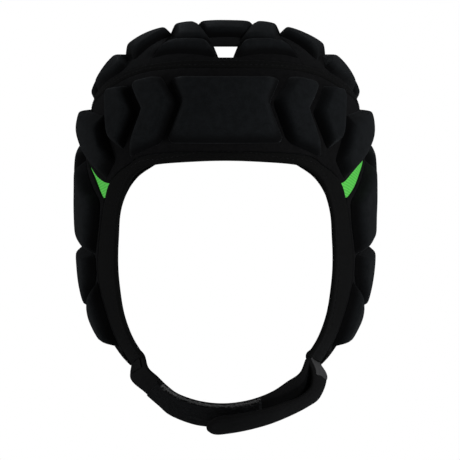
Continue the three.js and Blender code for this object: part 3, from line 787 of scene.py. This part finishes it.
def pad_square(width, length):
    """The pad's grid in its own square: ring by ring from its foot to its middle, with rounded corners.
    Gives u, v and each point's distance in from the foot."""
    depths = np.array(PAD_RINGS)
    depths = depths * min(1.0, RING_SHARE * min(width, length) / 2 / depths[-1])
    fill = np.linspace(0, 1, 6)[1:]

    def marks(size):
        edge = 1 - 2 * depths / size
        inner = edge[-1] * (1 - fill)
        half = np.concatenate([edge, inner])
        return np.concatenate([-half, half[-2::-1]])

    u_marks, v_marks = marks(width), marks(length)
    count = len(u_marks)
    i, j = np.meshgrid(np.arange(count), np.arange(count), indexing="ij")
    ring_u, ring_v = np.minimum(i, count - 1 - i), np.minimum(j, count - 1 - j)
    ring = np.minimum(ring_u, ring_v)
    u, v = u_marks[i], v_marks[j]
    half_u, half_v = np.abs(u_marks[ring]), np.abs(v_marks[ring])
    corner_u = np.minimum(2 * PAD_CORNER / width, CORNER_SHARE * half_u) + 1e-9
    corner_v = np.minimum(2 * PAD_CORNER / length, CORNER_SHARE * half_v) + 1e-9
    past_u = np.clip((np.abs(u) - (half_u - corner_u)) / corner_u, 0, 1)
    past_v = np.clip((np.abs(v) - (half_v - corner_v)) / corner_v, 0, 1)
    on_u = ring_u <= ring_v
    turn = np.where(on_u, past_v, 2 - past_u) * math.pi / 4
    in_corner = (past_u > 0) & (past_v > 0)
    arc_u = np.sign(u) * (half_u - corner_u + corner_u * np.cos(turn))
    arc_v = np.sign(v) * (half_v - corner_v + corner_v * np.sin(turn))
    u, v = np.where(in_corner, arc_u, u), np.where(in_corner, arc_v, v)
    distance = np.concatenate([depths, np.full(len(fill), depths[-1])])[ring]
    return u, v, distance


def foam_pad(name, chart, left, right, height, slope, spread, seed):
    """A soft block between two edge lines of a chart. Its height rises evenly from the foot up to a rounded
    crease round its face, which is slightly crowned and uneven."""
    def place(u, v, lift):
        share = (v + 1) / 2
        start, end = bent_line(left, share), bent_line(right, share)
        spot = start + (end - start) * ((u + 1) / 2)[..., None]
        seated = chart(spot[..., 0], spot[..., 1])
        return seated + lift[..., None] * form_normal(seated)

    def foot(u, v):
        return place(np.array(u), np.array(v), np.array(0.0))

    width = float(np.linalg.norm(foot(1.0, 0.0) - foot(-1.0, 0.0))) + 2 * spread
    length = float(np.linalg.norm(foot(0.0, 1.0) - foot(0.0, -1.0))) + 2 * spread
    spread_u, spread_v = width / (width - 2 * spread), length / (length - 2 * spread)
    u, v, distance = pad_square(width, length)
    to_climb = 1 - distance / slope
    climb = 1 - (to_climb + np.sqrt(to_climb**2 + PAD_CREASE**2)) / (1 + math.sqrt(1 + PAD_CREASE**2))
    crown = PAD_CROWNING * (1 - u**2) * (1 - v**2)
    wide_u, wide_v = u * spread_u, v * spread_v
    flat = place(wide_u, wide_v, np.zeros_like(u))
    uneven = PAD_UNEVENNESS * ripple(flat, PAD_RIPPLE, seed)
    outer = place(wide_u, wide_v, -PAD_SINK + (height - PAD_CROWNING + crown + uneven) * climb)
    inner = place(wide_u, wide_v, np.full_like(u, -PAD_SINK) - PAD_UNDERSIDE * (distance > 0))
    points, faces = two_sided(outer, inner)
    uv = np.stack([u * width / 2, v * length / 2], axis=-1).reshape(-1, 2)
    # The share of full height at each point, by which the pad knit paints shade towards the foot
    rise = np.concatenate([climb.ravel(), np.zeros(climb.size)])
    return mesh_object(name, points, faces, np.concatenate([uv, uv]), rise)


BROW_PADS = [
    ("brow_pad_1", [[28, 0.676], [18, 0.5], [22.5, 0.236]], [[42.6, 0.62], [32.2, 0.443], [37.5, 0.128]]),
    ("brow_pad_2", [[45, 0.608], [34.5, 0.43], [40, 0.186]], [[56, 0.58], [51.5, 0.432], [45, 0.22]]),
    ("temple_pad", [[55.5, 0.4], [44.5, 0.108], [50.5, -0.025]], [[86.5, 0.435], [89, 0.38], [84, 0.335]]),
]

SIDE_PADS = [
    ("cheek_pad_upper",
     [[57, -0.13], [58.5, -0.25], [62.5, -0.385]], [[84, 0.066], [85.5, -0.13], [82.5, -0.33]]),
    ("cheek_pad_middle",
     [[63.5, -0.41], [64.5, -0.5], [77, -0.665]], [[84.5, -0.365], [86.5, -0.52], [85, -0.675]]),
    ("cheek_pad_lower",
     [[63, -0.545], [60.5, -0.69], [59.5, -0.84]], [[75, -0.69], [80, -0.735], [71.5, -0.825]]),
    ("ear_pad_upper", [[92, 0.123], [87.5, -0.1]], [[117, 0.264], [115, -0.11]]),
    ("ear_pad_rear", [[119.5, 0.264], [118, -0.13]], [[150.5, 0.236], [141.5, 0.0]]),
    ("ear_pad_lower", [[117.5, -0.19], [114, -0.475]], [[132.5, -0.125], [121, -0.36]]),
]

CROWN_SIDE_PADS = [
    ("crown_side_pad_3", [[56.5, 0.735], [66, 0.79], [89, 0.8]], [[59, 0.69], [75, 0.625], [89, 0.572]]),
    ("crown_side_pad_4", [[92.5, 0.8], [124, 0.765]], [[92, 0.53], [123, 0.42]]),
    ("crown_side_pad_5", [[127.5, 0.765], [147, 0.65]], [[126, 0.415], [149, 0.39]]),
    ("nape_pad", [[176, 0.72], [177, 0.18]], [[150.5, 0.635], [158.5, 0.175]]),
]

CROWN_PADS = [
    ("crown_pad_1", [[0.085, -0.71], [0.12, -0.6]], [[0.49, -0.55], [0.345, -0.52]]),
    ("crown_pad_2", [[0.118, -0.575], [0.205, -0.125]], [[0.335, -0.49], [0.36, -0.115]]),
    ("crown_pad_3", [[0.205, -0.095], [0.19, 0.19]], [[0.37, -0.085], [0.37, 0.19]]),
    ("crown_pad_4", [[0.19, 0.22], [0.16, 0.46]], [[0.375, 0.22], [0.4, 0.43]]),
    ("crown_pad_5", [[0.15, 0.49], [0.115, 0.735]], [[0.405, 0.46], [0.475, 0.68]]),
    ("crown_side_pad_1", [[0.395, -0.25], [0.415, 0.095]], [[0.625, -0.41], [0.7, 0]]),
    ("crown_side_pad_2", [[0.415, 0.13], [0.435, 0.36]], [[0.69, 0.045], [0.6, 0.42]]),
]

# Height, length of the slope up from the foot, and how far the knit spreads past the foam's foot
BROW_FOAM = (PAD_HEIGHT, PAD_SLOPE, BROW_SPREAD)
SIDE_FOAM = (PAD_HEIGHT, PAD_SLOPE, SIDE_SPREAD)
CROWN_FOAM = (CROWN_PAD_HEIGHT, CROWN_PAD_SLOPE, SIDE_SPREAD)

# Pads on the middle line: their charts, right edges and foam
CENTRE_PADS = [
    ("brow_pad_centre", side, [[23, 0.665], [16.4, 0.5], [21, 0.236]], BROW_FOAM),
    ("crown_bar_front", top, [[0.14, -0.47], [0.2, -0.12]], CROWN_FOAM),
    ("crown_bar_rear", top, [[0.2, -0.09], [0.14, 0.46]], CROWN_FOAM),
]


def mirrored_chart(chart):
    """A chart whose places lie on the other side of the cap."""
    return lambda first, second: flipped(chart(first, second))


def add_pads():
    """Every foam pad, in the knit that covers it."""
    pads = []
    for k, (name, chart, edge, foam) in enumerate(CENTRE_PADS):
        other = [[-first, second] for first, second in edge]
        pads.append((foam_pad(f"{name}_foam", chart, other, edge, *foam, k), name))
    groups = [(BROW_PADS, side, BROW_FOAM), (SIDE_PADS, side, SIDE_FOAM),
              (CROWN_SIDE_PADS, side, CROWN_FOAM), (CROWN_PADS, top, CROWN_FOAM)]
    seed = len(CENTRE_PADS)
    for entries, chart, foam in groups:
        for name, inner, outer in entries:
            for hand, place in (("right", chart), ("left", mirrored_chart(chart))):
                piece = foam_pad(f"{name}_foam_{hand}", place, inner, outer, *foam, seed)
                pads.append((piece, f"{name}_{hand}"))
                seed += 1
    for piece, node in pads:
        finish_piece(piece, looks["pad"], "foam", node)


# Chin strap

STRAP_UNDER = [
    [-0.535, -0.735, -0.93, -0.66, -0.45, -1.01], [-0.47, -0.784, -0.968, -0.56, -0.54, -1.065],
    [-0.4, -0.83, -1.01, -0.455, -0.61, -1.12], [-0.32, -0.866, -1.045, -0.365, -0.665, -1.165],
    [-0.17, -0.912, -1.075, -0.19, -0.7, -1.205], [0, -0.92, -1.085, 0, -0.705, -1.21],
    [0.17, -0.9, -1.07, 0.18, -0.695, -1.19], [0.32, -0.855, -1.035, 0.35, -0.67, -1.165],
    [0.43, -0.8, -0.99, 0.485, -0.61, -1.135], [0.52, -0.755, -0.95, 0.59, -0.55, -1.085],
    [0.565, -0.705, -0.885, 0.645, -0.45, -0.985],
]

STRAP_OVER = [
    [0.6, -0.7, -0.95, 0.705, -0.43, -1.01], [0.592, -0.74, -1.02, 0.655, -0.535, -1.092],
    [0.505, -0.825, -1.065, 0.575, -0.62, -1.125], [0.38, -0.895, -1.09, 0.425, -0.695, -1.17],
    [0.264, -0.94, -1.11, 0.276, -0.74, -1.205], [0.103, -0.965, -1.13, 0.103, -0.77, -1.232],
    [-0.057, -0.965, -1.145, -0.07, -0.78, -1.247], [-0.125, -0.945, -1.165, -0.135, -0.815, -1.235],
]


def strap_frame(table, sign):
    """The strap's front and rear edge lines, from inside the band's end at the jaw, and the directions that
    its outer face looks in."""
    rows = np.array(table, float).reshape(-1, 2, 3) * np.array([HEAD_HALF_WIDTH, HEAD_FRONT, JAW_DEPTH])
    seam = seat(edge_rows(BAND[-2:]), np.array(-CLOTH_THICKNESS / 2)) * np.array([sign, 1.0, 1.0])
    edges = smooth_run(np.concatenate([seam, rows]), 14)
    along = np.gradient(edges.mean(axis=1), axis=0)
    ways = np.cross(along, edges[:, 1] - edges[:, 0])
    ways /= np.linalg.norm(ways, axis=-1, keepdims=True)
    return edges, ways if ways[len(edges) // 2, 2] < 0 else -ways


def strap_length(name, table, sign, low, high, first=0.0, last=1.0, inset=0.0, round_end=0.0, puff=0.0):
    """A length of strap between two shares of its run and two lifts from its middle surface, which is ruled
    between its edge lines. Its faces close by a quarter circle at the edges, and its end may be rounded."""
    edges, ways = strap_frame(table, sign)
    start, stop = (int(round(share * (len(edges) - 1))) for share in (first, last))
    rows, ways = edges[start:stop + 1], ways[start:stop + 1]
    width = np.linalg.norm(rows[:, 1] - rows[:, 0], axis=-1)
    run = run_along(rows.mean(axis=1))
    left = run[-1] - run
    margin = np.full_like(run, inset)
    if round_end:
        past = np.clip(1 - left / round_end, 0, 1)
        margin += ROUND_END_NARROWING * (1 - np.sqrt(np.clip(1 - past**2, 0, 1)))
    share = edge_shares(width)
    across = margin[:, None] + (1 - 2 * margin[:, None]) * share
    points = rows[:, None, 0] + (rows[:, 1] - rows[:, 0])[:, None] * across[..., None]
    depth = share * width[:, None]
    to_end = np.minimum(run, left)[:, None] + STRAP_END
    to_edge = np.minimum(np.minimum(depth, width[:, None] - depth), to_end)
    half = (high - low) / 2
    body = np.sqrt(np.clip(1 - (1 - np.minimum(to_edge / half, 1)) ** 2, 0, 1))
    middle = (high + low) / 2
    soft = STRAP_SLACK * ripple(points, STRAP_RIPPLE, len(name)) * np.minimum(to_edge / SLACK_FADE, 1)
    bulge = puff * np.sin(math.pi * share) ** 0.6 * np.minimum(to_edge / PUFF_FADE, 1)
    outer = points + (middle + half * body + soft + bulge)[..., None] * ways[:, None]
    inner = points + (middle - half * body + soft)[..., None] * ways[:, None]
    solid, faces = two_sided(outer, inner)
    uv = np.stack([np.broadcast_to(run[:, None], depth.shape), depth], axis=-1).reshape(-1, 2)
    return mesh_object(name, solid, faces, np.concatenate([uv, uv]))


def threads(name, lines, radii, sides=5):
    """Round threads along many short lines at once: rings square to each line, of the radius given for each
    of its points, which closes the thread where it is nothing."""
    along = np.gradient(lines, axis=1)
    along /= np.linalg.norm(along, axis=-1, keepdims=True)
    across = np.cross(along, form_normal(lines))
    across /= np.linalg.norm(across, axis=-1, keepdims=True)
    out = np.cross(across, along)
    turn = (2 * math.pi * np.arange(sides) / sides)[:, None]
    ring = np.cos(turn) * out[:, :, None] + np.sin(turn) * across[:, :, None]
    points = lines[:, :, None] + radii[:, None, None] * ring
    count, stops = lines.shape[:2]
    line, stop, k = np.meshgrid(np.arange(count), np.arange(stops - 1), np.arange(sides), indexing="ij")
    here, beside = (line * stops + stop) * sides, (k + 1) % sides
    faces = np.stack([here + k, here + beside, here + sides + beside, here + sides + k], axis=-1)
    return mesh_object(name, points.reshape(-1, 3), faces.reshape(-1, 4))


def stitch_run(name, line):
    """A row of stitches along a line: each rises from its hole, lies on the cloth and goes down again."""
    run = run_along(line)
    starts = np.arange(0, run[-1] - STITCH_LENGTH, STITCH_LENGTH + STITCH_GAP)
    share = np.linspace(0, 1, 7)
    places = starts[:, None] + STITCH_LENGTH * share
    laid = np.stack([np.interp(places, run, line[:, axis]) for axis in range(3)], axis=-1)
    laid += (STITCH_RISE * np.sin(math.pi * share) - STITCH_SINK)[:, None] * form_normal(laid)
    return threads(name, laid, STITCH_RADIUS * np.sin(math.pi * share) ** 0.5 * (share > 0) * (share < 1))


def add_stitches():
    """Stitching: two rows on the brow seam tape, and one inside the hem of the face opening."""
    tape_rows = both_sides(upright_rows(TAPE))
    runs = [
        ("tape_stitches_low", tape_rows, 1.5, TAPE_RISE),
        ("tape_stitches_high", tape_rows[:, ::-1], 1.5, TAPE_RISE),
        ("hem_stitches", both_sides(edge_rows(BAND)), 5.2, 0.0),
    ]
    for name, rows, distance, lift in runs:
        smooth = smooth_run(rows, 6)
        way = smooth[:, 1] - smooth[:, 0]
        line = smooth[:, 0] + distance * way / np.linalg.norm(way, axis=-1, keepdims=True)
        finish_piece(stitch_run(name, seat(line, lift)), looks["thread"], "cloth")


def add_fringe():
    """Loose fibres that stand along the upper edge of the loop patch, curling outwards."""
    edges, ways = strap_frame(STRAP_UNDER, -1)
    chance = np.random.default_rng(5)
    place = chance.uniform(0.31, 0.7, FIBRES) * (len(edges) - 1)
    numbers = np.arange(len(edges))

    def at_place(values):
        return np.stack([np.interp(place, numbers, values[:, axis]) for axis in range(3)], axis=-1)

    front, rear, out = at_place(edges[:, 0]), at_place(edges[:, 1]), at_place(ways)
    inwards = (rear - front) / np.linalg.norm(rear - front, axis=-1, keepdims=True)
    root = front + inwards * chance.uniform(0.0, 0.5, (FIBRES, 1)) + out
    lean = chance.normal(0, 0.45, (FIBRES, 3))
    way = out * 0.6 - inwards * 0.6 + lean
    share = np.linspace(0, 1, 5)[:, None]
    length = chance.uniform(0.6, 1.4, (FIBRES, 1, 1))
    curl = chance.normal(0, 0.5, (FIBRES, 1, 3)) * share**2
    lines = root[:, None] + length * (way[:, None] * share + curl)
    fringe = threads("loop_fringe", lines, np.array([0.0, 0.09, 0.08, 0.06, 0.0]), 3)
    finish_piece(fringe, looks["fibre"], "loop")


def add_straps():
    """The two straps, the loop patch that faces the over strap, the keeper patch and the tab."""
    under, over = (STRAP_UNDER, -1), (STRAP_OVER, 1)
    strap = (-STRAP_HALF, STRAP_HALF)
    patch, small_patch = (PATCH_LOW, PATCH_HIGH), (SMALL_PATCH_LOW, PATCH_HIGH)
    lengths = [
        ("under_strap", under, strap, {"puff": 0.4}, "strap", "webbing", "strap_left"),
        ("over_strap", over, strap, {"round_end": 9.0, "puff": 0.9}, "strap", "webbing", "strap_right"),
        ("loop_face", under, patch, {"first": 0.27, "last": 0.7, "inset": 0.05},
         "loop", "loop", "loop_patch"),
        ("keeper", over, small_patch, {"first": 0.12, "last": 0.24, "inset": 0.1},
         "satin", "satin", "keeper_patch"),
        ("jaw_tab", under, small_patch, {"first": 0.08, "last": 0.15, "inset": 0.15},
         "strap", "webbing", "strap_tab"),
    ]
    for name, which, lifts, shape, look, slot, node in lengths:
        finish_piece(strap_length(name, *which, *lifts, **shape), looks[look], slot, node)


# Studio

SURROUND_LIGHT = 0.085
FLOOR_LEVEL = -0.62
FLOOR_REACH = 6.0


def add_area(name, place, size, power):
    """A square soft light that faces the middle of the cap."""
    data = bpy.data.lights.new(name, "AREA")
    data.size = size
    data.energy = power
    light = bpy.data.objects.new(name, data)
    bpy.context.scene.collection.objects.link(light)
    light.location = place
    way = Vector(place) - Vector((0, 0, -0.1))
    light.rotation_euler = way.to_track_quat("Z", "Y").to_euler()


def add_studio():
    """A grey floor and a dim surround, which the camera sees white, and three lights."""
    world = bpy.data.worlds.new("studio")
    bpy.context.scene.world = world
    world.use_nodes = True
    tree = world.node_tree
    start = Signal(tree)
    seen = start.node("ShaderNodeLightPath", None, None, "Is Camera Ray")
    strength = seen * (1 - SURROUND_LIGHT) + SURROUND_LIGHT
    background = tree.nodes["Background"]
    background.inputs["Color"].default_value = (1, 1, 1, 1)
    tree.links.new(strength.socket, background.inputs["Strength"])

    floor_mesh = bpy.data.meshes.new("floor")
    ways = [(-1, -1), (1, -1), (1, 1), (-1, 1)]
    corners = [(x * FLOOR_REACH, y * FLOOR_REACH, FLOOR_LEVEL) for x, y in ways]
    floor_mesh.from_pydata(corners, [], [(0, 1, 2, 3)])
    floor = bpy.data.objects.new("floor", floor_mesh)
    bpy.context.scene.collection.objects.link(floor)
    material = bpy.data.materials.new("pale floor")
    material.use_nodes = True
    tree = material.node_tree
    shader = tree.nodes["Principled BSDF"]
    start = Signal(tree)
    shade = start.noise(place_of(start), 0.5, 2.0)
    colour = shade.blend((0.5, 0.5, 0.5), (0.56, 0.56, 0.56))
    tree.links.new(colour.socket, shader.inputs["Base Color"])
    shader.inputs["Roughness"].default_value = 0.9
    shader.inputs["Specular IOR Level"].default_value = 0.1
    seen = start.node("ShaderNodeLightPath", None, None, "Is Camera Ray")
    white = {"Color": (1.0, 1.0, 1.0, 1.0), "Strength": 1.0}
    glow = start.node("ShaderNodeEmission", None, white, "Emission")
    lit = Signal(tree, shader.outputs[0])
    mixed = start.node("ShaderNodeMixShader", None, {0: seen, 1: lit, 2: glow})
    tree.links.new(mixed.socket, tree.nodes["Material Output"].inputs["Surface"])
    floor.data.materials.append(material)

    add_area("key", (1.05, -1.3, 0.6), 0.5, 8.4)
    add_area("right", (1.5, -0.45, -0.4), 0.4, 3.4)
    add_area("left", (-1.7, -0.15, -0.25), 0.6, 6.0)
    bpy.context.scene.view_settings.view_transform = "Standard"


add_camera()
add_panels()
add_pads()
add_straps()
add_stitches()
add_fringe()
add_studio()
